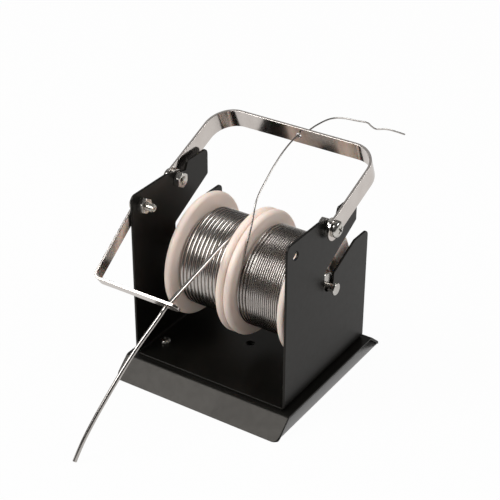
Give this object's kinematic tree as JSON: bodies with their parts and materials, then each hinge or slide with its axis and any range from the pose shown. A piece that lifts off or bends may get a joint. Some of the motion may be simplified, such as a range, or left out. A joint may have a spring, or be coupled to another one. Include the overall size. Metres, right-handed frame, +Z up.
{
  "type": "solder reel stand",
  "caption": "Bench stand of bent black sheet metal that holds reels of solder wire on a lift-out axle, with a folding carrying handle and a swinging wire guide arm.",
  "frame": {"origin": "middle of the stand's footprint box, without the free solder ends, on the bench surface", "axes": "+X from the left plate to the right plate along the axle, -Y to the front where the guide arm reaches, +Z up"},
  "size_m": [0.0964, 0.201, 0.1124],
  "materials": {
    "powder_coat": "semi-gloss black powder coat",
    "nickel_strip": "bright nickel-plated strip",
    "zinc": "bright zinc-plated fasteners",
    "axle_steel": "turned steel",
    "reel_plastic": "moulded cream plastic",
    "solder": "drawn tin solder, satin"
  },
  "bodies": {
    "stand": {"base_sheet": "powder_coat", "channel_frame": "powder_coat", "floor_screws": "zinc", "floor_nuts": "zinc", "handle_left_screw": "zinc", "handle_right_screw": "zinc", "handle_left_nut": "zinc", "handle_right_nut": "zinc", "handle_washers": "zinc", "arm_screw": "zinc", "arm_nut": "zinc", "thick_solder_end": "solder", "thin_solder_end": "solder"},
    "axle": {"axle_rod": "axle_steel", "axle_cap": "axle_steel", "spindle_sleeve": "axle_steel"},
    "left_reel": {"left_reel": "reel_plastic", "left_solder_core": "solder", "left_solder_winding": "solder"},
    "right_reel": {"right_reel": "reel_plastic", "right_solder_core": "solder", "right_solder_winding": "solder"},
    "handle": {"handle_strip": "nickel_strip"},
    "arm": {"guide_arm": "nickel_strip"}
  },
  "joints": [
    {"name": "axle_spin", "type": "hinge", "parent": "stand", "child": "axle", "pos_m": [0, 0.00858, 0.05705], "axis": [1, 0, 0], "continuous": true},
    {"name": "left_reel_spin", "type": "hinge", "parent": "stand", "child": "left_reel", "pos_m": [0, 0.00858, 0.0525], "axis": [1, 0, 0], "continuous": true},
    {"name": "right_reel_spin", "type": "hinge", "parent": "stand", "child": "right_reel", "pos_m": [0, 0.00858, 0.0525], "axis": [1, 0, 0], "continuous": true},
    {"name": "handle_hinge", "type": "hinge", "parent": "stand", "child": "handle", "pos_m": [0, 0.00703, 0.0896], "axis": [1, 0, 0], "range_deg": [-40, 135], "deforming": ["thin_solder_end"]},
    {"name": "arm_hinge", "type": "hinge", "parent": "stand", "child": "arm", "pos_m": [0, -0.02177, 0.0887], "axis": [1, 0, 0], "range_deg": [-120, 20], "deforming": ["thick_solder_end"]}
  ]
}
